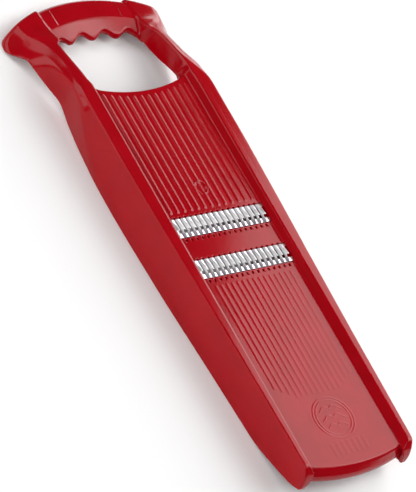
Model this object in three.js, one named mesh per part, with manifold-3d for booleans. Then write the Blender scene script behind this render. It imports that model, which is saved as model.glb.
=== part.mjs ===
// Shredding slicer: a one-piece moulded frame (runway, side rails, hand grip) that holds
// two corrugated steel blade strips. Millimetres, +Z up, +Y from the front lip to the grip.
// Heights start at the table, and lengths at the front corner of the side rails.
import * as THREE from "three";
import { mergeVertices } from "three/addons/utils/BufferGeometryUtils.js";
import Module from "manifold-3d";

const wasm = await Module();
wasm.setup();

// Driving dimensions
const RUNWAY_HALF = 40;        // half the width of the flat runway
const RUNWAY_Z = 25;           // upper face of the runway
const RAIL_Z = 30;             // upper face of the side rails
const RAIL_INNER = 44;         // half the gap between the rails, at their top
const WALL = 2.5;              // wall thickness of the moulding
const CLEAR = 0.3;             // gap between the moulding and each blade strip
const BIG = 200;               // reaches past the object in any direction

// Front lip, side toes and the hand opening
const LIP_BULGE = 5;           // how far the lip bows forward of the rail corners
const LIP_DROP = 5.5;          // height of the sloping apron below the runway
const LIP_RUN = 4;             // how far the apron runs forward as it drops
const LIP_BACK = 12;           // the lip's plate joins the rest of the runway here
const LIP_OVERLAP = 1.005;     // and reaches a little way into the side walls
const TOE = { y: -8.1, z: 14.4 };
const SLED_START = 40;         // the side walls leave the table here, towards the toes
const OPENING_FRONT = 296.2;   // ends of the runway's rear edge
const OPENING_BULGE = 6.6;     // how far that edge bows towards the front
const OPENING_HALF = 39.5;     // half width of the hand opening, at its lower edge
const OPENING_REAR = 344.5;    // crests between the finger recesses
const OPENING_CORNER = 5;
const FINGER_PITCH = 20;
const FINGER_DEPTH = 4.5;
const FINGERS = 4;

// Grip: every outline is an arc about one point on the centre line
const GRIP_CENTRE = 238;
const GRIP_OUTER = 138;
const GRIP_HALF = 38.5;        // the grip's top lies a step below the arms within this
const GRIP_LOW = 8;            // lower edge of the grip's finger face
const GRIP_TOP = 14;           // flat top of the grip
const GRIP_START = 325;        // the grip's top is cut from here to its back
const FOOT_HALF = 71.5;        // half width across the grip's two feet, before their rounding
const PANEL = { inner: 121, outer: 131, half: 28, depth: 0.7 };

// Ribs on the upper runway, and the blade strips
const RIB = { count: 13, pitch: 6.05, width: 2, height: 0.4, start: 195, rear: 4.5 };
const DIMPLE = { y: 210, radius: 4.6, depth: 0.6 };
const STRIP = { ridges: 17, pitch: 4.62, wave: 1.1, thick: 0.6, lift: 0.8, shoulder: 0.6, tab: 2 };
const SLOT = { width: 1.3, length: 4.6, shift: 1.2 };
const STRIPS = { upper_blade_strip: [175.8, 190.2], lower_blade_strip: [144, 158] };

// Side stations: half widths at the table (foot), at the rim and at the rail's outer edge
const STATIONS = [
  { y: -20, foot: 46.4, rim: 46.4, rimZ: 12, top: 46.2, topZ: RAIL_Z },
  { y: 0, foot: 47.6, rim: 47.5, rimZ: 4, top: 47, topZ: RAIL_Z },
  { y: 40, foot: 49.0, rim: 49.1, rimZ: 3, top: 48.2, topZ: RAIL_Z },
  { y: 90, foot: 52.0, rim: 52.3, rimZ: 3.5, top: 49.7, topZ: RAIL_Z },
  { y: 146, foot: 55.7, rim: 56.6, rimZ: 5, top: 51.3, topZ: RAIL_Z },
  { y: 184, foot: 57.3, rim: 58.5, rimZ: 6.5, top: 52.5, topZ: RAIL_Z },
  { y: 215, foot: 58.0, rim: 59.4, rimZ: 9, top: 53.4, topZ: RAIL_Z },
  { y: 243, foot: 57.4, rim: 59.6, rimZ: 11.5, top: 54.2, topZ: RAIL_Z },
  { y: 271, foot: 55.6, rim: 58.9, rimZ: 17.5, top: 55, topZ: RAIL_Z },
  { y: 288, foot: 53.0, rim: 58.1, rimZ: 26.3, top: 55.4, topZ: RAIL_Z },
  { y: 299, foot: 52.6, rim: 56.8, rimZ: 26, top: 52, topZ: 29.3 },
  { y: 310, foot: 54.6, rim: 55.3, rimZ: 24.8, top: 50, topZ: 27.5 },
  { y: 322, foot: 58.2, rim: 54, rimZ: 22.2, top: 49, topZ: 25 },
  { y: 334, foot: 63.5, rim: 53.2, rimZ: 19.2, top: 48, topZ: 21.9 },
  { y: 341, foot: 68.2, rim: 53.6, rimZ: 17, top: 47.5, topZ: 19.8 },
  { y: 347, foot: 71, rim: 56, rimZ: 15, top: 47, topZ: 18 },
  { y: 352, foot: 71, rim: 60, rimZ: 13.6, top: 47, topZ: 16.4 },
  { y: 358, foot: 71, rim: 60, rimZ: 13.2, top: 47, topZ: 15.2 },
  { y: 380, foot: 71, rim: 60, rimZ: 13, top: 47, topZ: 14.6 },
];

// Lower edge of the side walls where they pass the hand opening, clear of the table.
const ARM_ARCH = [[288, 0], [303, 4.5], [322, 5], [336, 6.5], [346, 0]];

// ---- Solids -------------------------------------------------------------------------

// A closed mesh as a solid, turned inside out first if its faces point inwards.
function solidOf(geometry) {
  const bare = geometry.clone();
  bare.deleteAttribute("normal");
  bare.deleteAttribute("uv");
  const merged = mergeVertices(bare, 1e-4);
  const points = merged.attributes.position.array;
  const index = new Uint32Array(merged.index.array);
  const corner = (k) => new THREE.Vector3().fromArray(points, 3 * index[k]);
  let volume = 0;
  for (let i = 0; i < index.length; i += 3) {
    volume += corner(i).dot(corner(i + 1).cross(corner(i + 2)));
  }
  for (let i = 0; volume < 0 && i < index.length; i += 3) {
    [index[i], index[i + 1]] = [index[i + 1], index[i]];
  }
  const vertProperties = new Float32Array(points);
  return new wasm.Manifold(new wasm.Mesh({ numProp: 3, vertProperties, triVerts: index }));
}

function geometryOf(solid) {
  const mesh = solid.getMesh();
  const geometry = new THREE.BufferGeometry();
  geometry.setAttribute("position", new THREE.BufferAttribute(mesh.vertProperties, 3));
  geometry.setIndex(new THREE.BufferAttribute(mesh.triVerts, 1));
  return geometry;
}

function box(x0, x1, y0, y1, z0, z1) {
  const geometry = new THREE.BoxGeometry(x1 - x0, y1 - y0, z1 - z0);
  geometry.translate((x0 + x1) / 2, (y0 + y1) / 2, (z0 + z1) / 2);
  return solidOf(geometry);
}

// A solid between z0 and z1 with the given [x, y] outline.
function slab(outline, z0, z1) {
  const shape = new THREE.Shape(outline.map(([x, y]) => new THREE.Vector2(x, y)));
  const geometry = new THREE.ExtrudeGeometry(shape, { depth: z1 - z0, bevelEnabled: false });
  geometry.translate(0, 0, z0);
  return solidOf(geometry);
}

// A solid across the whole width with the given [y, z] side outline.
function crosswise(outline, half = BIG) {
  const shape = new THREE.Shape(outline.map(([y, z]) => new THREE.Vector2(y, z)));
  const geometry = new THREE.ExtrudeGeometry(shape, { depth: 2 * half, bevelEnabled: false });
  geometry.rotateX(Math.PI / 2);
  geometry.rotateZ(Math.PI / 2);
  geometry.translate(-half, 0, 0);
  return solidOf(geometry);
}

// A solid lofted through rings of [x, z] points, one ring for each y.
function loft(rings) {
  const count = rings[0].points.length;
  const positions = [];
  for (const { y, points } of rings) {
    for (const [x, z] of points) positions.push(x, y, z);
  }
  const index = [];
  // Seen from the front, [x, z] turns the same way as the ring's own signed area.
  const first = rings[0].points.map(([x, z]) => new THREE.Vector2(x, z));
  const clockwise = THREE.ShapeUtils.area(first) < 0;
  for (let i = 0; i + 1 < rings.length; i++) {
    for (let j = 0; j < count; j++) {
      const a = i * count + j;
      const b = i * count + ((j + 1) % count);
      if (clockwise) index.push(a, b, b + count, a, b + count, a + count);
      else index.push(b, a, b + count, b + count, a, a + count);
    }
  }
  for (const ring of [0, rings.length - 1]) {
    const flat = rings[ring].points.map(([x, z]) => new THREE.Vector2(x, z));
    const turn = ring === 0 ? 1 : -1;
    for (const face of THREE.ShapeUtils.triangulateShape(flat, [])) {
      const way = Math.sign(THREE.ShapeUtils.area(face.map((k) => flat[k])));
      const [a, b, c] = face.map((k) => ring * count + k);
      index.push(...(way === turn ? [a, b, c] : [a, c, b]));
    }
  }
  const geometry = new THREE.BufferGeometry();
  geometry.setAttribute("position", new THREE.Float32BufferAttribute(positions, 3));
  geometry.setIndex(index);
  return solidOf(geometry);
}

// The half outline [x, z] of a ring, from the middle of the bottom round to the middle
// of the top, mirrored into a whole ring.
function mirrored(half) {
  const left = half.slice().reverse().map(([x, z]) => [-x, z]);
  return [...half, ...left];
}

// Points of an arc about (0, GRIP_CENTRE), from one side to the other.
function gripArc(radius, halfWidth, steps) {
  const swing = Math.asin(halfWidth / radius);
  const points = [];
  for (let i = 0; i <= steps; i++) {
    const angle = swing * (1 - (2 * i) / steps);
    points.push([radius * Math.sin(angle), GRIP_CENTRE + radius * Math.cos(angle)]);
  }
  return points;
}

// ---- Moulded frame ------------------------------------------------------------------

// The block that the frame is cut from, shrunk by inset all round for its hollow.
function sideBlock(inset) {
  return loft(STATIONS.map((s) => ({
    y: s.y,
    points: mirrored([
      [s.foot - inset, inset ? -5 : 0],
      [s.rim - inset, s.rimZ - inset / 2],
      [s.top - inset, s.topZ - inset],
    ]),
  })));
}

// The side view: sled at the front, level runway, and the drooping handle behind it. The
// hollow's own side view has no sled, so that it stays open below.
function sideView(inset) {
  const toe = TOE.y + inset;
  const table = inset ? -5 : 0;
  const lower = inset ? [[toe, table]] : [
    [toe, TOE.z - 1],
    [toe + 2, 11.8],
    [toe + 8, 8.8],
    [10, 6],
    [22, 3],
    [31, 1],
    [SLED_START, table],
    ...ARM_ARCH,
  ];
  const upper = [
    [380, 13.6],
    [368, 14.6],
    [358, 15.2],
    [352, 16.4],
    [347, 18],
    [334, 21.9],
    [322, 25],
    [310, 27.5],
    [299, 29.3],
    [290, RAIL_Z],
    [inset, RAIL_Z],
    [toe, TOE.z + 1 + inset],
  ].map(([y, z]) => [y, z - inset]);
  return crosswise([...lower, [380, table], ...upper]);
}

// The plan: everything inside the grip's outer arc and the rounded corners of its feet.
function planView(inset) {
  const side = FOOT_HALF - inset;
  const arc = gripArc(GRIP_OUTER - inset, 52, 24);
  const corner = [[59.5, 361.5], [65.5, 357], [70, 351.5]];
  const right = corner.slice().reverse().map(([x, y]) => [x - inset * 0.8, y - inset * 0.6]);
  const left = corner.map(([x, y]) => [-(x - inset * 0.8), y - inset * 0.6]);
  return slab([[-side, -20], [side, -20], [side, 346], ...right, ...arc, ...left, [-side, 346]], -10, BIG);
}

// The trough between the rails, whose side faces lean outwards.
function channel() {
  const lean = (RAIL_INNER - RUNWAY_HALF) / (RAIL_Z - RUNWAY_Z);
  const up = 10;
  const ring = mirrored([
    [RUNWAY_HALF, RUNWAY_Z],
    [RAIL_INNER, RAIL_Z],
    [RAIL_INNER + lean, RAIL_Z + up],
  ]);
  return loft([{ y: -30, points: ring }, { y: OPENING_FRONT + 6, points: ring }]);
}

// The hand opening seen from above: a bowed front edge and finger recesses at the rear.
function openingOutline(grow) {
  const half = OPENING_HALF + grow;
  const front = [];
  for (let i = 0; i <= 16; i++) {
    const x = -(half - OPENING_CORNER) + ((half - OPENING_CORNER) * 2 * i) / 16;
    const bow = 1 - (x / RUNWAY_HALF) ** 2;
    front.push([x, OPENING_FRONT - OPENING_BULGE * bow - grow]);
  }
  const cornerY = front[0][1];
  const rear = [];
  const steps = 40;
  const reach = (FINGERS * FINGER_PITCH) / 2 - 2;
  for (let i = 0; i <= steps; i++) {
    const x = reach - (2 * reach * i) / steps;
    const bow = 4 * (x / reach) ** 2;
    const dip = FINGER_DEPTH * Math.abs(Math.sin((Math.PI * x) / FINGER_PITCH)) ** 2.3;
    rear.push([x * (half / OPENING_HALF), OPENING_REAR + dip - bow + grow]);
  }
  return [
    ...front,
    [half - 1.2, cornerY + 1.6],
    [half, cornerY + OPENING_CORNER],
    [half, OPENING_REAR - 8],
    ...rear,
    [-half, OPENING_REAR - 8],
    [-half, cornerY + OPENING_CORNER],
    [-half + 1.2, cornerY + 1.6],
  ];
}

// The leaning inner faces of the two arms: from the opening's lower edge up to their top.
function armFlare() {
  const stations = [
    [OPENING_FRONT - 4, RUNWAY_Z, RAIL_INNER, RAIL_Z],
    [308, 17, 44.2, 27.9],
    [322, 11, 44.4, 25],
    [334, 8, 43.8, 21.9],
    [342, GRIP_LOW, 42.5, 19.5],
  ];
  return loft(stations.map(([y, lowZ, topX, topZ]) => ({
    y,
    points: mirrored([[OPENING_HALF - 0.01, lowZ], [topX, topZ], [topX + 1, topZ + 12]]),
  })));
}

// A solid of revolution about the grip's centre, from [radius, z] points.
function gripRing(profile) {
  const points = profile.map(([radius, z]) => new THREE.Vector2(radius, z));
  points.push(points[0].clone());
  const geometry = new THREE.LatheGeometry(points, 120);
  geometry.rotateX(Math.PI / 2);
  geometry.translate(0, GRIP_CENTRE, 0);
  return solidOf(geometry);
}

// What is cut off above the grip: its finger face, its top and its rounded back.
function aboveGrip(inset) {
  const outside = GRIP_OUTER + 10;
  const ring = gripRing([
    [90, GRIP_LOW - inset],
    [107.5, GRIP_LOW - inset],
    [110, 9.8 - inset],
    [119, 13.4 - inset],
    [121, GRIP_TOP - inset],
    [130.5, GRIP_TOP - inset],
    [134, 12.8 - inset],
    [136.6, 10.6 - inset],
    [GRIP_OUTER - inset, 7.5],
    [GRIP_OUTER - inset, -20],
    [outside, -20],
    [outside, BIG],
    [90, BIG],
  ]);
  return ring.intersect(box(-GRIP_HALF, GRIP_HALF, GRIP_START, BIG * 2, -30, BIG));
}

// The hollow underneath: an even wall everywhere, and a skirt round the hand opening.
function hollow() {
  const shell = sideBlock(WALL).intersect(sideView(WALL)).intersect(planView(WALL));
  const plate = box(-RUNWAY_HALF - 2, RUNWAY_HALF + 2, -30, OPENING_FRONT, RUNWAY_Z - WALL, BIG);
  const rails = box(-RAIL_INNER - WALL, RAIL_INNER + WALL, -30, OPENING_FRONT, RUNWAY_Z - 0.5, BIG);
  const skirtLow = crosswise([
    [270, 20], [298, 19], [308, 16], [318, 12], [328, 9], [340, 6.5], [380, 6.5], [380, BIG], [270, BIG],
  ]);
  const skirt = slab(openingOutline(WALL), -10, BIG).intersect(skirtLow);
  const armInner = loft([OPENING_FRONT - 4, 352].map((y) => ({
    y,
    points: mirrored([[OPENING_HALF + 1, GRIP_LOW], [RAIL_INNER + WALL, 18], [RAIL_INNER + WALL, BIG]]),
  }))).intersect(skirtLow);
  return shell
    .subtract(plate)
    .subtract(rails)
    .subtract(skirt)
    .subtract(armInner)
    .subtract(aboveGrip(WALL));
}

// The front of the runway: a plate whose bowed edge turns forward and down into an apron.
function lip() {
  const slices = 16;
  const under = RUNWAY_Z - WALL;
  const stations = [];
  for (let i = 0; i <= slices; i++) {
    const x = RUNWAY_HALF * ((2 * i) / slices - 1);
    const edge = -LIP_BULGE * (1 - (x / RUNWAY_HALF) ** 2);
    const points = [
      [LIP_BACK, RUNWAY_Z],
      [edge + 0.8, RUNWAY_Z],
      [edge, RUNWAY_Z - 0.5],
      [edge - LIP_RUN, RUNWAY_Z - LIP_DROP],
      [edge - LIP_RUN + 0.8, RUNWAY_Z - LIP_DROP - 1],
      [edge + 1.4, under],
      [LIP_BACK, under],
    ];
    stations.push({ y: x * LIP_OVERLAP, points });
  }
  const geometry = geometryOf(loft(stations));
  geometry.applyMatrix4(new THREE.Matrix4().makeBasis(
    new THREE.Vector3(0, 1, 0), new THREE.Vector3(1, 0, 0), new THREE.Vector3(0, 0, 1),
  ));
  return solidOf(geometry);
}

// The runway's windows under the blade strips, with a seat for each strip's edges.
function stripWindow([y0, y1]) {
  const seat = (STRIP.ridges * STRIP.pitch) / 2 + STRIP.tab + CLEAR;
  const window = box(-RUNWAY_HALF + 1.5, RUNWAY_HALF - 1.5, y0 + 1.4, y1 - 1.4, 0, BIG);
  const pocket = box(-seat, seat, y0 - CLEAR, y1 + CLEAR, RUNWAY_Z - 1 - CLEAR, RUNWAY_Z);
  return window.add(pocket);
}

function ribs() {
  let all = null;
  for (let i = 0; i < RIB.count; i++) {
    const x = (i - (RIB.count - 1) / 2) * RIB.pitch;
    const edge = OPENING_FRONT - OPENING_BULGE * (1 - (x / RUNWAY_HALF) ** 2);
    const rib = box(
      x - RIB.width / 2, x + RIB.width / 2, RIB.start, edge - RIB.rear, RUNWAY_Z - 1, RUNWAY_Z + RIB.height,
    );
    all = all ? all.add(rib) : rib;
  }
  return all;
}

function makeFrame() {
  const outer = sideBlock(0).intersect(sideView(0)).intersect(planView(0));
  const opening = slab(openingOutline(0), -10, BIG);
  const dimple = new THREE.CylinderGeometry(DIMPLE.radius, DIMPLE.radius, 4, 20);
  dimple.rotateX(Math.PI / 2);
  dimple.translate(0, DIMPLE.y, RUNWAY_Z + 2 - DIMPLE.depth);
  const panel = gripPanel();
  let frame = outer
    .subtract(channel())
    .subtract(aboveGrip(0))
    .subtract(panel)
    .subtract(hollow())
    .subtract(opening)
    .subtract(armFlare())
    .subtract(box(-RUNWAY_HALF, RUNWAY_HALF, -30, LIP_BACK, -5, BIG))
    .add(lip())
    .add(ribs())
    .subtract(solidOf(dimple));
  for (const span of Object.values(STRIPS)) frame = frame.subtract(stripWindow(span));
  return frame;
}

// The shallow plain panel on top of the grip.
function gripPanel() {
  const { inner, outer, half, depth } = PANEL;
  const ring = gripRing([
    [inner, GRIP_TOP - depth],
    [outer, GRIP_TOP - depth],
    [outer, BIG],
    [inner, BIG],
  ]);
  const far = GRIP_CENTRE + 2 * inner;
  const wedge = slab([[0, GRIP_CENTRE], [2 * half, far], [-2 * half, far]], 0, BIG);
  return ring.intersect(wedge);
}

// ---- Blade strips -------------------------------------------------------------------

// A corrugated strip: its waves run across the frame, and a slot is cut in each valley.
function makeStrip([y0, y1]) {
  const { ridges, pitch, wave, thick, lift, shoulder, tab } = STRIP;
  const half = (ridges * pitch) / 2;
  const base = RUNWAY_Z - 1.0;
  const top = [];
  const steps = ridges * 6;
  for (let i = 0; i <= steps; i++) {
    const x = -half + (2 * half * i) / steps;
    const phase = (2 * Math.PI * (x + half)) / pitch;
    top.push([x, base + thick + lift + wave * (0.5 - 0.5 * Math.cos(phase))]);
  }
  const flat = base + thick;
  const ends = (side) => [[side * (half + tab), flat], [side * (half + shoulder), flat]];
  const outline = [...ends(-1), ...top, ...ends(1).reverse()];
  const lower = outline.map(([x, z]) => [x, z - thick]).reverse();
  const shape = new THREE.Shape([...outline, ...lower].map(([x, z]) => new THREE.Vector2(x, z)));
  const geometry = new THREE.ExtrudeGeometry(shape, { depth: y1 - y0, bevelEnabled: false });
  geometry.rotateX(Math.PI / 2);
  geometry.translate(0, y1, 0);
  let strip = solidOf(geometry);
  const middle = (y0 + y1) / 2 + SLOT.shift;
  for (let i = 1; i < ridges; i++) {
    const x = -half + i * pitch;
    strip = strip.subtract(box(
      x - SLOT.width / 2, x + SLOT.width / 2, middle - SLOT.length / 2, middle + SLOT.length / 2, 0, BIG,
    ));
  }
  return strip;
}

// ---- Assembly -----------------------------------------------------------------------

const plastic = new THREE.MeshStandardMaterial({ color: 0xb5121b, roughness: 0.25, metalness: 0 });
const steel = new THREE.MeshStandardMaterial({ color: 0xc9cacc, roughness: 0.3, metalness: 1 });

function named(name, solid, material) {
  const mesh = new THREE.Mesh(geometryOf(solid), material);
  mesh.name = name;
  return mesh;
}

const slicer = new THREE.Group();
slicer.add(named("frame", makeFrame(), plastic));
for (const [name, span] of Object.entries(STRIPS)) slicer.add(named(name, makeStrip(span), steel));

// The origin is on the table, under the middle of the whole object.
const bounds = new THREE.Box3().setFromObject(slicer);
const middle = bounds.getCenter(new THREE.Vector3());
slicer.position.set(-middle.x, -middle.y, -bounds.min.z);
slicer.updateMatrixWorld(true);

export default slicer;
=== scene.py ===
"""Looks for the shredding slicer: a moulded frame and two corrugated blade strips.

The frame's surface is a signed distance in millimetres, blended where the moulding has a
radius, and is turned into a mesh here. x runs across the slicer, y from the rails' front
corners to the grip and z up from the table. Y_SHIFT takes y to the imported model's frame.
"""
import math

import bpy
import numpy as np
from mathutils import Matrix, Vector


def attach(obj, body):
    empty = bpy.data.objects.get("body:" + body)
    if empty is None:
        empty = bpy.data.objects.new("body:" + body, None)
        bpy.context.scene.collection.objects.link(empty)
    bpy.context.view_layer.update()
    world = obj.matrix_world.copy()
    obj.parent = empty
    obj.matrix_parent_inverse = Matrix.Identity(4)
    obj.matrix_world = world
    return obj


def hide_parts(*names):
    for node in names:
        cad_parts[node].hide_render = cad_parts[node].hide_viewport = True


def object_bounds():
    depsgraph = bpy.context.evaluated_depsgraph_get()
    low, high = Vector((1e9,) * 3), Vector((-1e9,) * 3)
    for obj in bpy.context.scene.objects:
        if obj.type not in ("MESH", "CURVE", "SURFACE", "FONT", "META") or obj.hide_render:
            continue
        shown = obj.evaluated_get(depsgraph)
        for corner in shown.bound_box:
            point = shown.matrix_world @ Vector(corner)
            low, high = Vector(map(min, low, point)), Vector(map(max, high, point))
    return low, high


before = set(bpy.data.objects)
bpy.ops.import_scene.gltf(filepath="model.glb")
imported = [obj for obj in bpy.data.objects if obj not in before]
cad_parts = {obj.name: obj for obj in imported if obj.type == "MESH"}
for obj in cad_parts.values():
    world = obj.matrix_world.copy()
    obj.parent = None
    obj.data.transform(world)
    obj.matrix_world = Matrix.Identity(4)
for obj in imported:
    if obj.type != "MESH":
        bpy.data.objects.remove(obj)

MM = 0.001
CAD_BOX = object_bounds()

# Driving dimensions in millimetres
WALL = 2.5
RUNWAY_HALF = 40.0
RUNWAY_Z = 25.0
RAIL_Z = 30.0
RAIL_INNER = 44.0
LIP_BULGE = 5.0                # how far the lip bows out in the middle
LIP_DROP = 5.5
LIP_RUN = 4.0
TOE_CENTRE = (12.2, 13.8)      # y and z of the rounded front of each side wall
TOE_RADIUS = 20.3
OPENING_FRONT = 296.2
OPENING_BULGE = 6.6
OPENING_HALF = 39.5
OPENING_REAR = 344.5
FINGER_PITCH = 20.0
FINGER_DEPTH = 4.5
FINGER_BOW = 4.0               # how far the finger edge bows forward, and over what half width
FINGER_REACH = 38.0
GRIP_CENTRE = 238.0            # y of the centre of the grip's round back
GRIP_OUTER = 138.0
GRIP_START = 320.0
GRIP_HALF = 38.5
GRIP_Z = 14.0
CORNER_HALF = 71.5
HOLLOW_REAR = 337.0            # from here back, the hollow follows the grip's top
PANEL_SPAN = (120.6, 134.5)    # radii of the plain panel sunk into the grip
PANEL_HALF = 29.0
PANEL_DEPTH = 0.6
Y_SHIFT = CAD_BOX[1][1] / MM - GRIP_CENTRE - GRIP_OUTER

# Relief of the runway
RIB_PITCH = 6.05
RIB_SIDE = 6                   # ribs on each side of the middle one
RIB_HEIGHT = 0.5
RIB_START = 193.5
FINE_SIDE = 7                  # fine ridges on each side of the middle one
FINE_HEIGHT = 0.08
FINE_SPAN = (48.0, 138.0)
FRONT_SIDE = 3                 # short fine ridges by the lip, on each side of the middle one
FRONT_SPAN = (2.5, 13.0)
EMBLEM_Y = 29.5
EMBLEM_SIZE = (16.0, 15.0)
EMBLEM_HEIGHT = 0.11
WAVE_PITCH = 6.4
GATE_Y = 210.0

# Blade strips
STRIP_PITCH = 4.75
STRIP_RIDGES = 17
STRIP_HALF = STRIP_RIDGES * STRIP_PITCH / 2.0
STRIP_END = 0.8                # flat end beyond the last ridge
STRIP_Z = 24.35
STRIPS = {"upper_blade_strip": (175.8, 190.2), "lower_blade_strip": (144.0, 158.0)}
STEEL = 0.32
MOUTH = 0.62                   # where each ridge opens, as a share of the strip's width
MOUTH_ROWS = 5
MOUTH_EDGE = -0.3              # the ridge's left side, which stays closed
SLOT_SPAN = (0.18, 0.70)

FACE_BUDGET = 195000

PLASTIC = ((0.305, 0.0003, 0.0040, 1.0), (0.335, 0.0006, 0.0055, 1.0))
# Steel tones: the dark one is painted shade for the valleys and also the tarnish, the light one
# is the steel itself.
STEEL_SHADE_AND_TARNISH_TONES = ((0.26, 0.21, 0.26, 1.0), (0.93, 0.92, 0.93, 1.0))

# Side stations: y, then half widths at the foot, rim and rail edge, and the rim's height
SIDE = np.array([
    (-20, 46.8, 47, 48, 12), (0, 47.9, 48, 48.4, 4), (40, 49, 49.1, 49, 3),
    (90, 52, 52.3, 50, 3.5), (146, 55.7, 56.6, 51.3, 5), (184, 57.3, 58.5, 52.5, 6.5),
    (215, 58, 59.4, 53.4, 9), (243, 57.4, 59.6, 54.2, 11.5), (271, 55.6, 58.9, 55, 17.5),
    (288, 53, 58.1, 55.4, 26.3), (299, 52.6, 56.8, 52, 26), (310, 54.6, 55.3, 50, 24.8),
    (322, 58.2, 54, 49, 22.2), (334, 63.5, 53.2, 48, 19.2), (341, 68.2, 53.6, 47.5, 17),
    (347, 72.5, 56, 47, 15), (352, 73, 60, 47, 13.6), (380, 73, 60, 47, 13),
], float)
# Heights along y of the rails' and arms' tops, and of the lower edge
TOP = np.array([
    (-20, 30), (290, 30), (299, 29.3), (310, 27.5), (322, 25), (334, 21.9), (347, 18),
    (352, 16.4), (358, 15.2), (368, 14.6), (400, 13.6),
], float)
BOTTOM = np.array([
    (-9, 14), (-6, 11.8), (0, 8.8), (10, 6), (22, 3), (31, 1), (40, 0), (288, 0), (303, 4.5),
    (322, 5), (336, 6.5), (349, 0), (400, 0),
], float)
# Height of the grip's top by the distance from the centre of its round back
GRIP_TOP = np.array([
    (90, 8), (107, 8), (110, 9.8), (119, 13.3), (121.5, 14), (130, 14), (134, 12.8),
    (136.6, 10.6), (138, 7.5), (139, 3),
], float)
# How low the skirt round the hand opening reaches
SKIRT_LOW = np.array([
    (270, 19.5), (298, 19), (308, 16), (318, 12), (328, 9), (340, 6.5), (400, 6.5),
], float)
# The arms' inner faces: the height where they start to lean out, and their half width on top
ARM_LOW = np.array([(292, 25), (308, 17), (322, 11), (334, 8), (345, 8)], float)
ARM_TOP_X = np.array([(292, 44), (308, 44.2), (322, 44.4), (334, 43.8), (345, 42.5)], float)


# Distance field of the frame

def curve(stations, column=1, blur=4.0, step=0.5):
    """A function for a column's value and slope: straight runs, softened over blur."""
    start, end = stations[0, 0] - 4 * blur, stations[-1, 0] + 4 * blur
    grid = np.arange(start, end, step)
    values = np.interp(grid, stations[:, 0], stations[:, column])
    reach = int(3 * blur / step)
    weights = np.exp(-0.5 * (np.arange(-reach, reach + 1) * step / blur) ** 2)
    padded = np.pad(values, reach, mode="edge")
    soft = np.convolve(padded, weights / weights.sum(), mode="valid")
    slope = np.gradient(soft, step)
    return lambda y: (np.interp(y, grid, soft), np.interp(y, grid, slope))


foot_of = curve(SIDE, 1)
rim_of = curve(SIDE, 2)
rail_of = curve(SIDE, 3)
rim_z_of = curve(SIDE, 4)
top_of = curve(TOP, 1, 3.0)
bottom_of = curve(BOTTOM, 1, 1.5)
grip_top_of = curve(GRIP_TOP, 1, 0.6, 0.1)
skirt_low_of = curve(SKIRT_LOW, 1, 3.0)
arm_low_of = curve(ARM_LOW, 1, 3.0)
arm_top_x_of = curve(ARM_TOP_X, 1, 3.0)


def soft_max(a, b, k):
    """The larger of two distances, rounded where they are within k of each other."""
    h = np.maximum(k - np.abs(a - b), 0.0)
    return np.maximum(a, b) + h * h / (4.0 * k)


def step_up(value, low, high):
    """Eases from 0 at low to 1 at high."""
    t = np.clip((value - low) / (high - low), 0.0, 1.0)
    return t * t * (3.0 - 2.0 * t)


def plateau(value, start, end, rise, fall):
    """0 up to start and from end on, and 1 between, with eased slopes rise and fall long."""
    return step_up(value, start, start + rise) * step_up(end - value, 0.0, fall)


def mound(away, reach, ease):
    """1 where away is small, easing to 0 at reach over the last stretch."""
    return step_up(reach - away, 0.0, ease)


def lip_edge(x):
    return -LIP_BULGE * np.maximum(1.0 - (x / RUNWAY_HALF) ** 2, 0.0)


def opening_edge(x):
    return OPENING_FRONT - OPENING_BULGE * (1.0 - (x / RUNWAY_HALF) ** 2)


def ribs(x, y):
    column = np.round(x / RIB_PITCH)
    away = np.abs(x - column * RIB_PITCH)
    along = plateau(y, RIB_START, opening_edge(x) - 3.5, 2.0, 2.0)
    return RIB_HEIGHT * mound(away, 1.5, 1.0) * along * (np.abs(column) <= RIB_SIDE)


def fine_ridges(x, y):
    """Ridges in step with the strips, the outer ones shorter, and a short row by the lip."""
    column = np.round(x / STRIP_PITCH)
    away = np.abs(x - column * STRIP_PITCH)
    start = FINE_SPAN[0] + 3.0 * np.maximum(np.abs(column) - 4.0, 0.0)
    along = plateau(y, start, FINE_SPAN[1], 1.0, 1.0) * (np.abs(column) <= FINE_SIDE)
    along += plateau(y, *FRONT_SPAN, 1.0, 1.0) * (np.abs(column) <= FRONT_SIDE)
    return FINE_HEIGHT * np.cos(np.pi * away / STRIP_PITCH) ** 4 * along


def emblem(x, y):
    """An oval double ring round three wavy lines."""
    radius = np.hypot(x / EMBLEM_SIZE[0], (y - EMBLEM_Y) / EMBLEM_SIZE[1])
    outer_ring = mound(np.abs(radius - 1.0), 0.055, 0.05)
    inner_ring = mound(np.abs(radius - 0.86), 0.045, 0.04)
    wave = y - EMBLEM_Y - 2.0 * np.sin(x * 0.42)
    away = np.abs(np.mod(wave + WAVE_PITCH / 2.0, WAVE_PITCH) - WAVE_PITCH / 2.0)
    waves = mound(away, 0.9, 0.7) * (radius < 0.74) * (np.abs(wave) < 8.5)
    return EMBLEM_HEIGHT * np.maximum(np.maximum(outer_ring, inner_ring), waves)


def gate_mark(x, y):
    """The dish, rim and off-centre stub where the mould was filled."""
    away = np.hypot(x, y - GATE_Y)
    dish = 0.55 * mound(away, 4.4, 0.9)
    rim = 0.30 * mound(np.abs(away - 5.0), 0.7, 0.6)
    stub = 0.45 * mound(np.hypot(x + 0.8, y - GATE_Y - 0.6), 1.6, 0.8)
    return rim + stub - dish


def relief(x, y):
    """Height above the plain runway."""
    return ribs(x, y) + fine_ridges(x, y) + emblem(x, y) + gate_mark(x, y)


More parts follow.
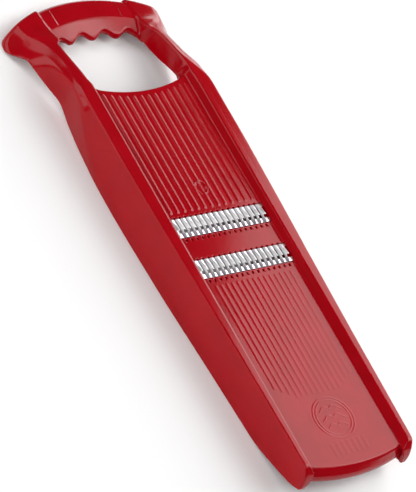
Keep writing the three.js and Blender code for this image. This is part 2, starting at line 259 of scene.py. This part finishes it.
def side_body(x, y, z):
    """The block between the outer faces, without its table side."""
    foot, foot_slope = foot_of(y)
    rim, rim_slope = rim_of(y)
    rail, _ = rail_of(y)
    rim_z, _ = rim_z_of(y)
    top, top_slope = top_of(y)
    lean = (rim - foot) / rim_z
    lower = (x - foot - lean * z) / np.sqrt(1.0 + lean ** 2 + foot_slope ** 2)
    flare_lean = (rail - rim) / np.maximum(top - rim_z, 1.0)
    flare = x - rim - flare_lean * (z - rim_z)
    flare = flare / np.sqrt(1.0 + flare_lean ** 2 + rim_slope ** 2)
    waist = plateau(y, 60.0, 283.0, 140.0, 50.0)
    arms = plateau(y, 297.0, 354.0, 19.0, 18.0)
    rim_blend = 1.5 + 4.5 * waist + 8.5 * arms
    # A blend thickens the wall inwards, so the walls move out by part of it.
    walls = soft_max(lower, flare, rim_blend) - 0.18 * rim_blend
    upper = (z - top) / np.sqrt(1.0 + top_slope ** 2)
    crest = 1.1 + 5.0 * step_up(y, 292.0, 320.0)
    body = soft_max(walls, upper, crest)
    front = np.hypot(np.minimum(y - TOE_CENTRE[0], 0.0), z - TOE_CENTRE[1]) - TOE_RADIUS
    body = soft_max(body, front, 1.5)
    rear = np.hypot(x, np.maximum(y - GRIP_CENTRE, 0.0)) - GRIP_OUTER
    corner = soft_max(rear, x - CORNER_HALF, 6.0)
    return soft_max(body, corner, 3.0)


def channel(x, y, z, floor):
    """The trough between the rails: negative where food slides."""
    lean = (RAIL_INNER - RUNWAY_HALF) / (RAIL_Z - RUNWAY_Z)
    side = (x - RUNWAY_HALF - lean * (z - RUNWAY_Z)) / math.hypot(1.0, lean)
    trough = soft_max(side, floor - z, 0.9)
    return np.maximum(trough, y - OPENING_FRONT - 8.0)


def opening(x, y, z):
    """The hand opening, wider above its lower edge along both arms."""
    low, _ = arm_low_of(y)
    top_x, _ = arm_top_x_of(y)
    top, _ = top_of(y)
    lean = (top_x - OPENING_HALF) / np.maximum(top - low, 3.0)
    half = OPENING_HALF + lean * np.maximum(z - low, 0.0)
    side = (x - half) / np.sqrt(1.0 + lean ** 2)
    front = opening_edge(x) - y
    recess = FINGER_DEPTH * np.abs(np.sin(np.pi * x / FINGER_PITCH)) ** 2.3
    recess = recess - FINGER_BOW * (x / FINGER_REACH) ** 2
    # Across the sloping recesses the true distance is shorter than the one along y.
    rear = (y - OPENING_REAR - recess) * 0.85
    return soft_max(soft_max(side, front, 6.0), rear, 5.0)


def over_grip(x, y, z):
    """What is cut away above the grip's finger face, panel and rounded back."""
    radius = np.hypot(x, y - GRIP_CENTRE)
    top, slope = grip_top_of(radius)
    panel = plateau(radius, *PANEL_SPAN, 0.8, 2.5) * mound(x, PANEL_HALF, 0.8)
    surface = (top - PANEL_DEPTH * panel - z) / np.sqrt(1.0 + slope ** 2)
    side = x - GRIP_HALF - 0.15 * (z - GRIP_Z)
    return soft_max(np.maximum(surface, GRIP_START - y), side, 2.0)


def lip(x, y, z, floor):
    """The bowed front edge of the runway and its apron."""
    edge = lip_edge(x)
    ahead = soft_max(edge - y, np.zeros_like(y), 1.4)
    upper = floor - ahead * LIP_DROP / LIP_RUN
    # The apron slopes, so it is measured and thickened along its steepness.
    tilt = 1.0 + 0.7 * step_up(ahead, 0.0, 1.5)
    plate = soft_max((z - upper) / tilt, (upper - WALL * tilt - z) / tilt, 1.0)
    plate = soft_max(plate, edge - LIP_RUN - 0.6 - y, 1.4)
    return np.maximum(np.maximum(plate, y - 14.0), x - RUNWAY_HALF - 2.5)


def strip_seats(x, y, z):
    """Windows under the blade strips, the seats for their edges, and the notches."""
    ledge = 1.4
    gap = 0.3
    seat_low, seat_high = RUNWAY_Z - 1.3, RUNWAY_Z + 0.9
    notch_half, notch_low = 0.8, RUNWAY_Z - 1.5
    # An odd number of ridges puts the valleys half a pitch from the middle.
    valley = np.abs(x - (np.floor(x / STRIP_PITCH) + 0.5) * STRIP_PITCH)
    cuts = []
    for y0, y1 in STRIPS.values():
        along = np.abs(y - (y0 + y1) / 2.0) - (y1 - y0) / 2.0
        window = np.maximum(along + ledge, x - RUNWAY_HALF + 1.5)
        seat = np.maximum(along - gap, x - STRIP_HALF - STRIP_END - 0.1)
        seat = np.maximum(np.maximum(seat, seat_low - z), z - seat_high)
        behind = np.maximum(y1 - 0.5 - y, y - y1 - 1.3)
        before = np.maximum(y0 - 3.3 - y, y - y0 + 1.3)
        notch = np.maximum(np.minimum(behind, before), valley - notch_half)
        notch = np.maximum(np.maximum(notch, notch_low - z), x - STRIP_HALF + 0.5)
        cuts += [window, seat, notch]
    return np.minimum.reduce(cuts)


def distance(x, y, z):
    """Signed distance to the frame's surface, negative inside; both halves are alike."""
    x = np.abs(x)
    floor = RUNWAY_Z + relief(x, y)
    body = side_body(x, y, z)
    hole = opening(x, y, z)
    grip = over_grip(x, y, z)
    low, slope = bottom_of(y)
    table = (low - z) / np.sqrt(1.0 + slope ** 2)
    solid = soft_max(body, table, 1.0)
    solid = soft_max(solid, -channel(x, y, z, floor), 0.9)
    solid = soft_max(solid, -hole, 1.6)
    solid = soft_max(solid, -grip, 2.2)
    # The hollow keeps an even wall from every outer face.
    skirt, _ = skirt_low_of(y)
    plain_channel = channel(x, y, z, np.full_like(z, RUNWAY_Z))
    inside = np.maximum(body + WALL, WALL - plain_channel)
    inside = np.where(y > HOLLOW_REAR, np.maximum(inside, WALL - grip), inside)
    inside = np.maximum(inside, -np.maximum(hole - WALL, skirt - z))
    solid = soft_max(solid, -inside, 0.8)
    # Between the toes only the lip is left, and the toes thin towards their feet.
    toe_inner = RUNWAY_HALF + 0.35 * np.maximum(RUNWAY_Z - z, 0.0)
    solid = np.maximum(solid, -np.maximum(x - toe_inner, y - 12.0))
    solid = np.minimum(solid, lip(x, y, z, floor))
    return soft_max(solid, -strip_seats(x, y, z), 0.3)


# Meshing

def grid_points(counts):
    axes = [np.arange(count) for count in counts]
    return np.stack(np.meshgrid(*axes, indexing="ij"), -1).reshape(-1, 3)


def sampled(cell):
    """The distance on a grid over the right half, exact only in blocks near the surface."""
    low = np.array([0.0, -11.0, -1.0])
    span = np.array([73, 389, 33])
    block = 8
    counts = np.ceil((span / cell).astype(int) / block).astype(int)
    index = grid_points(counts)
    coarse = distance(*(low + (index + 0.5) * block * cell).T)
    field = coarse.reshape(counts).astype(np.float32)
    for axis in range(3):
        field = np.repeat(field, block, axis)
    field = np.pad(field, (0, 1), mode="edge")
    # Half a block's diagonal, times the field's steepest slope, and a margin
    reach = block * cell * 0.87 * 1.35 + 0.6
    close = index[np.abs(coarse) < reach] * block
    offset = grid_points([block + 1] * 3)
    batch = 400
    for start in range(0, len(close), batch):
        nodes = (close[start:start + batch, None] + offset).reshape(-1, 3)
        field[tuple(nodes.T)] = distance(*(low + nodes * cell).T)
    return low, field


def surface_net(low, field, cell):
    """Quads along the zero surface, with one vertex in each cell that it crosses."""
    inside = field < 0
    corners = grid_points([2, 2, 2])
    size = np.array(field.shape) - 1
    total = np.zeros(size, np.int8)
    for i, j, k in corners:
        total += inside[i:i + size[0], j:j + size[1], k:k + size[2]]
    active = (total > 0) & (total < 8)
    cells = np.argwhere(active)
    number = np.full(active.shape, -1, np.int64)
    number[active] = np.arange(len(cells))
    values = np.stack([field[tuple((cells + corner).T)] for corner in corners], 1)
    place = np.zeros((len(cells), 3))
    count = np.zeros(len(cells))
    for a in range(8):
        for b in range(a + 1, 8):
            if np.abs(corners[a] - corners[b]).sum() != 1:
                continue
            crossed = (values[:, a] < 0) != (values[:, b] < 0)
            fall = np.where(crossed, values[:, a] - values[:, b], 1.0)
            share = np.where(crossed, values[:, a] / fall, 0.0)
            point = corners[a] + (corners[b] - corners[a]) * share[:, None]
            place += point * crossed[:, None]
            count += crossed
    vertices = low + (cells + place / count[:, None]) * cell
    faces = []
    for axis in range(3):
        u, v = (axis + 1) % 3, (axis + 2) % 3
        spots = np.argwhere(np.diff(inside, axis=axis))
        for other in (u, v):
            spots = spots[(spots[:, other] > 0) & (spots[:, other] < active.shape[other])]
        du, dv = np.eye(3, dtype=int)[[u, v]]
        around = (du + dv, dv, 0 * du, du)
        quad = np.stack([number[tuple((spots - back).T)] for back in around], 1)
        entering = ~inside[tuple(spots.T)]
        quad[entering] = quad[entering][:, ::-1]
        faces.append(quad)
    return vertices, np.concatenate(faces)


def gradient(points, step=0.05):
    parts = []
    for axis in range(3):
        offset = np.zeros(3)
        offset[axis] = step
        parts.append(distance(*(points + offset).T) - distance(*(points - offset).T))
    return np.stack(parts, 1) / (2.0 * step)


def settle(points, rounds, limit):
    """Moves points onto the surface along the gradient, limit at a time."""
    for _ in range(rounds):
        slope = gradient(points)
        size = np.maximum((slope ** 2).sum(1), 0.05)
        shift = (distance(*points.T) / size)[:, None] * slope
        points = points - np.clip(shift, -limit, limit)
    return points


def on_relief(points):
    """True for points of the runway's top where the relief changes height near by."""
    x, y, z = points.T
    x = np.abs(x)
    steps = (-0.6, 0.0, 0.6)
    heights = np.stack([relief(x + dx, y + dy) for dx in steps for dy in steps])
    changing = heights.max(0) - heights.min(0) > 0.02
    return changing & (np.abs(z - RUNWAY_Z + 0.1) < 0.9) & (x < RUNWAY_HALF - 1.0)


def mesh_object(name, vertices, faces):
    mesh = bpy.data.meshes.new(name)
    mesh.from_pydata(vertices.tolist(), [], faces.tolist())
    mesh.validate()
    obj = bpy.data.objects.new(name, mesh)
    bpy.context.scene.collection.objects.link(obj)
    return obj


def thin_out(obj, kept):
    """Collapses faces down to FACE_BUDGET, leaving the kept vertices alone."""
    bpy.context.view_layer.objects.active = obj
    group = obj.vertex_groups.new(name="plain")
    group.add(np.flatnonzero(~kept).tolist(), 1.0, "REPLACE")
    thin = obj.modifiers.new("thin", "DECIMATE")
    thin.vertex_group = "plain"
    thin.ratio = min(1.0, FACE_BUDGET / (2 * len(obj.data.polygons)))
    bpy.ops.object.modifier_apply(modifier="thin")


def make_frame():
    cell = 0.55
    low, half = sampled(cell)
    low[0] = -(half.shape[0] - 1) * cell
    field = np.concatenate([half[:0:-1], half])
    vertices, faces = surface_net(low, field, cell)
    obj = mesh_object("frame_moulding", vertices, faces)
    thin_out(obj, on_relief(vertices))
    mesh = obj.data
    points = np.empty(3 * len(mesh.vertices), np.float32)
    mesh.vertices.foreach_get("co", points)
    points = settle(points.reshape(-1, 3).astype(float), rounds=2, limit=0.15)
    normals = gradient(points)
    normals /= np.maximum(np.linalg.norm(normals, axis=1), 1e-6)[:, None]
    placed = (points + (0.0, Y_SHIFT, 0.0)) * MM
    mesh.vertices.foreach_set("co", placed.astype(np.float32).ravel())
    mesh.shade_smooth()
    mesh.normals_split_custom_set_from_vertices(normals.astype(np.float32))
    mesh.update()
    return obj


def ridge_height(across, along):
    """Height above STRIP_Z: across is -1..1 over one ridge, along 0..1 from grip to lip."""
    crest = np.cos(0.5 * np.pi * np.clip(across * 1.05, -1.0, 1.0))
    raised = step_up(across, -0.35, 0.25)
    rear = (0.95 + 0.85 * step_up(along, 0.05, MOUTH)) * raised
    rear += (1.15 + 0.1 * along) * (1.0 - raised)
    past_mouth = step_up(along, MOUTH, 1.0)
    front = (1.0 - 0.15 * past_mouth) * raised + (1.1 - 0.25 * past_mouth) * (1.0 - raised)
    height = np.where(along < MOUTH, rear, front)
    ends = step_up(along, -0.01, 0.05) * step_up(1.0 - along, -0.01, 0.05)
    return 0.12 + height * crest ** 0.9 * (0.72 + 0.28 * ends)


def make_strip(name):
    """A corrugated sheet with a slot in each valley and a mouth in each ridge."""
    y0, y1 = STRIPS[name]
    across_count, along_count = 14, 34
    columns = STRIP_RIDGES * across_count
    u = np.linspace(-STRIP_HALF, STRIP_HALF, columns + 1)
    u[0] -= STRIP_END
    u[-1] += STRIP_END
    v = np.linspace(0.0, 1.0, along_count + 1)
    x, along = np.meshgrid(u, v, indexing="ij")
    ridge = np.floor((x + STRIP_HALF) / STRIP_PITCH - 1e-6)
    across = 2.0 * (x + STRIP_HALF) / STRIP_PITCH - 2.0 * ridge - 1.0
    # The two outermost half ridges stay high and run into the plastic.
    across = np.where(np.abs(x) > STRIP_HALF - STRIP_PITCH / 2.0, 0.45 * across, across)
    z = STRIP_Z + ridge_height(across, along)
    points = np.stack([x, y1 - along * (y1 - y0) + Y_SHIFT, z], -1).reshape(-1, 3) * MM

    i, j = np.meshgrid(np.arange(columns), np.arange(along_count), indexing="ij")
    middle_across = (i % across_count + 0.5) / across_count * 2.0 - 1.0
    middle_along = (j + 0.5) / along_count
    in_slot = (middle_across > 0.60) | (middle_across < -0.90)
    in_slot &= (middle_along > SLOT_SPAN[0]) & (middle_along < SLOT_SPAN[1])
    mouth_row = round(MOUTH * along_count)
    in_mouth = (j >= mouth_row) & (j < mouth_row + MOUTH_ROWS) & (middle_across > MOUTH_EDGE)
    first = (i * (along_count + 1) + j)[~(in_slot | in_mouth)]
    faces = np.stack([first, first + 1, first + along_count + 2, first + along_count + 1], 1)
    used, faces = np.unique(faces, return_inverse=True)
    obj = mesh_object(name + "_sheet", points[used], faces.reshape(-1, 4))
    obj.data.shade_smooth()
    thick = obj.modifiers.new("thick", "SOLIDIFY")
    thick.thickness = STEEL * MM
    thick.offset = -1.0
    thick.use_even_offset = False
    return obj


# Materials

def node_tree(material):
    material.use_nodes = True
    return material.node_tree.nodes, material.node_tree.links


def noise(nodes, links, scale, detail, stretch=(1.0, 1.0, 1.0)):
    """A noise over the object's own coordinates, scale being features per metre."""
    place = nodes.new("ShaderNodeTexCoord")
    mapping = nodes.new("ShaderNodeMapping")
    mapping.inputs["Scale"].default_value = stretch
    pattern = nodes.new("ShaderNodeTexNoise")
    pattern.inputs["Scale"].default_value = scale
    pattern.inputs["Detail"].default_value = detail
    links.new(place.outputs["Object"], mapping.inputs["Vector"])
    links.new(mapping.outputs["Vector"], pattern.inputs["Vector"])
    return pattern.outputs["Fac"]


def remap(nodes, links, source, low, high, start, end):
    """source's span from start to end, taken to low and high and clamped."""
    span = nodes.new("ShaderNodeMapRange")
    span.inputs["From Min"].default_value = start
    span.inputs["From Max"].default_value = end
    span.inputs["To Min"].default_value = low
    span.inputs["To Max"].default_value = high
    links.new(source, span.inputs["Value"])
    return span.outputs["Result"]


def added(nodes, links, first, second):
    total = nodes.new("ShaderNodeMath")
    links.new(first, total.inputs[0])
    links.new(second, total.inputs[1])
    return total.outputs["Value"]


def colour_between(nodes, links, tones, factor, shader):
    tone = nodes.new("ShaderNodeMix")
    tone.data_type = "RGBA"
    tone.inputs["A"].default_value = tones[0]
    tone.inputs["B"].default_value = tones[1]
    links.new(factor, tone.inputs["Factor"])
    links.new(tone.outputs["Result"], shader.inputs["Base Color"])


def bumped(nodes, links, height, strength, depth, shader):
    bump = nodes.new("ShaderNodeBump")
    bump.inputs["Strength"].default_value = strength
    bump.inputs["Distance"].default_value = depth
    links.new(height, bump.inputs["Height"])
    links.new(bump.outputs["Normal"], shader.inputs["Normal"])


def moulded_plastic():
    """Glossy red plastic with a slight mottle, smudges and scratches along the runway."""
    material = bpy.data.materials.new("red_moulded_plastic")
    nodes, links = node_tree(material)
    shader = nodes["Principled BSDF"]
    shader.inputs["IOR"].default_value = 1.32
    mottle = remap(nodes, links, noise(nodes, links, 60.0, 3.0), 0.0, 1.0, 0.35, 0.65)
    colour_between(nodes, links, PLASTIC, mottle, shader)
    smudges = remap(nodes, links, noise(nodes, links, 22.0, 4.0), 0.09, 0.14, 0.35, 0.7)
    scratches = noise(nodes, links, 260.0, 2.0, (1.0, 0.035, 1.0))
    scuffs = remap(nodes, links, scratches, 0.0, 0.07, 0.58, 0.78)
    links.new(added(nodes, links, smudges, scuffs), shader.inputs["Roughness"])
    grain = remap(nodes, links, noise(nodes, links, 700.0, 2.0), 0.0, 0.35, 0.3, 0.7)
    grooves = remap(nodes, links, scratches, 0.0, -0.6, 0.62, 0.8)
    bumped(nodes, links, added(nodes, links, grain, grooves), 0.10, 0.3 * MM, shader)
    return material


def blade_steel():
    """Brushed steel, with painted shade darkening it down in the valleys, and faintly
    tarnished.
    """
    material = bpy.data.materials.new("stamped_blade_steel")
    nodes, links = node_tree(material)
    shader = nodes["Principled BSDF"]
    shader.inputs["Metallic"].default_value = 1.0
    brushing = noise(nodes, links, 900.0, 3.0, (1.0, 0.06, 1.0))
    tarnish = noise(nodes, links, 160.0, 4.0)
    place = nodes.new("ShaderNodeTexCoord")
    parts = nodes.new("ShaderNodeSeparateXYZ")
    links.new(place.outputs["Object"], parts.inputs["Vector"])
    # Painted shade: the colour darkens with height from the crests down into the valleys.
    valley, crest = (STRIP_Z + 0.1) * MM, (STRIP_Z + 1.15) * MM
    height = remap(nodes, links, parts.outputs["Z"], 0.0, 1.0, valley, crest)
    grime = remap(nodes, links, tarnish, 0.0, -0.35, 0.5, 0.8)
    colour_between(nodes, links, STEEL_SHADE_AND_TARNISH_TONES, added(nodes, links, height, grime), shader)
    brushed = remap(nodes, links, brushing, 0.28, 0.42, 0.3, 0.7)
    dulled = remap(nodes, links, tarnish, 0.0, 0.12, 0.5, 0.8)
    links.new(added(nodes, links, brushed, dulled), shader.inputs["Roughness"])
    bumped(nodes, links, brushing, 0.15, 0.1 * MM, shader)
    return material


# Camera, lights and floor

def add_camera():
    """A long lens from the front left, rolled so that the rails run across the picture."""
    azimuth, elevation, roll = math.radians(-63.061), math.radians(41.711), math.radians(41.453)
    towards = Vector((math.sin(azimuth) * math.cos(elevation),
                      -math.cos(azimuth) * math.cos(elevation), math.sin(elevation)))
    level = Vector((0.0, 0.0, 1.0)).cross(towards).normalized()
    rise = towards.cross(level)
    right = math.cos(roll) * level + math.sin(roll) * rise
    upward = math.cos(roll) * rise - math.sin(roll) * level
    camera = bpy.data.cameras.new("camera")
    camera.sensor_fit = "HORIZONTAL"
    camera.sensor_width = 36.0
    camera.lens = 302.885
    holder = bpy.data.objects.new("camera", camera)
    bpy.context.scene.collection.objects.link(holder)
    aim = Vector((0.0, Y_SHIFT, RUNWAY_Z)) * MM
    place = Matrix((right, upward, towards)).transposed().to_4x4()
    place.translation = aim + towards * 2.21628 - right * 0.09376 + upward * 0.13299
    holder.matrix_world = place
    bpy.context.scene.camera = holder


def add_floor():
    bpy.ops.mesh.primitive_plane_add(size=12.0)
    floor = bpy.context.object
    floor.name = "floor"
    material = bpy.data.materials.new("pale_floor")
    nodes, _ = node_tree(material)
    shader = nodes["Principled BSDF"]
    shader.inputs["Base Color"].default_value = (0.90, 0.90, 0.90, 1.0)
    shader.inputs["Roughness"].default_value = 0.9
    shader.inputs["Specular IOR Level"].default_value = 0.0
    floor.data.materials.append(material)


def softbox(name, centre, facing, along, size, radiance):
    """A rectangular light at centre that shines against facing, its width lying on along."""
    facing = Vector(facing).normalized()
    across = (Vector(along) - facing * Vector(along).dot(facing)).normalized()
    light = bpy.data.lights.new(name, "AREA")
    light.shape = "RECTANGLE"
    light.size, light.size_y = size
    light.energy = radiance * math.pi * size[0] * size[1]
    holder = bpy.data.objects.new(name, light)
    bpy.context.scene.collection.objects.link(holder)
    place = Matrix((across, facing.cross(across), facing)).transposed().to_4x4()
    place.translation = Vector(centre)
    holder.matrix_world = place


def aimed_softbox(name, towards, away, along, size, radiance):
    """A softbox away metres from the middle of the slicer, shining at it."""
    towards = Vector(towards).normalized()
    softbox(name, towards * away, towards, along, size, radiance)


def mirror_ray(point, eye):
    """Where the flat runway reflects the camera's sight at this point."""
    sight = (eye - point).normalized()
    return Vector((-sight.x, -sight.y, sight.z))


def add_key_softbox(eye):
    """The large softbox, set so that its reflected edge crosses the runway by the strips."""
    high = Vector((30.0, 202.0 + Y_SHIFT, RUNWAY_Z)) * MM
    low = Vector((-38.0, 112.0 + Y_SHIFT, RUNWAY_Z)) * MM
    front = Vector((0.0, Y_SHIFT, RUNWAY_Z)) * MM
    facing = mirror_ray((high + low) / 2.0, eye)
    plane = (high + low) / 2.0 + facing * 0.62

    def seen(point):
        ray = mirror_ray(point, eye)
        return point + ray * ((plane - point).dot(facing) / ray.dot(facing))

    edge = (seen(high) - seen(low)).normalized()
    middle = (seen(high) + seen(low)) / 2.0
    inward = facing.cross(edge)
    if inward.dot(seen(front) - middle) < 0:
        inward = -inward
    size = (1.1, 0.75)
    softbox("key_softbox", middle + inward * size[1] / 2.0, facing, edge, size, 3.6)


def add_room_light():
    room = bpy.data.lights.new("room_light", "SUN")
    room.energy = 0.9
    room.angle = math.radians(40.0)
    holder = bpy.data.objects.new("room_light", room)
    bpy.context.scene.collection.objects.link(holder)
    overhead = Vector((0.50, -0.25, 0.83)).normalized()
    holder.matrix_world = overhead.to_track_quat("Z", "Y").to_matrix().to_4x4()
    world = bpy.data.worlds.new("studio")
    bpy.context.scene.world = world
    world.use_nodes = True
    background = world.node_tree.nodes["Background"]
    background.inputs["Color"].default_value = (1.0, 1.0, 1.0, 1.0)
    background.inputs["Strength"].default_value = 0.08


def add_lights():
    add_key_softbox(bpy.context.scene.camera.matrix_world.translation)
    add_room_light()
    aimed_softbox("camera_softbox", (-0.78, -0.36, 0.52), 1.7, (1, 0, 0), (1.2, 1.2), 3.3)
    aimed_softbox("rear_softbox", (-0.36, 0.60, 0.71), 1.1, (1, 0, 0), (0.75, 0.6), 2.4)
    aimed_softbox("left_softbox", (-0.86, 0.42, 0.28), 1.5, (0, 0, 1), (0.5, 1.2), 2.6)


plastic = moulded_plastic()
steel = blade_steel()

moulding = make_frame()
moulding.data.materials.append(plastic)
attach(moulding, "root")
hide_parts("frame")

for strip_name in STRIPS:
    sheet = make_strip(strip_name)
    sheet.data.materials.append(steel)
    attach(sheet, "root")
    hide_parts(strip_name)

add_camera()
add_floor()
add_lights()
bpy.context.scene.view_settings.view_transform = "Standard"
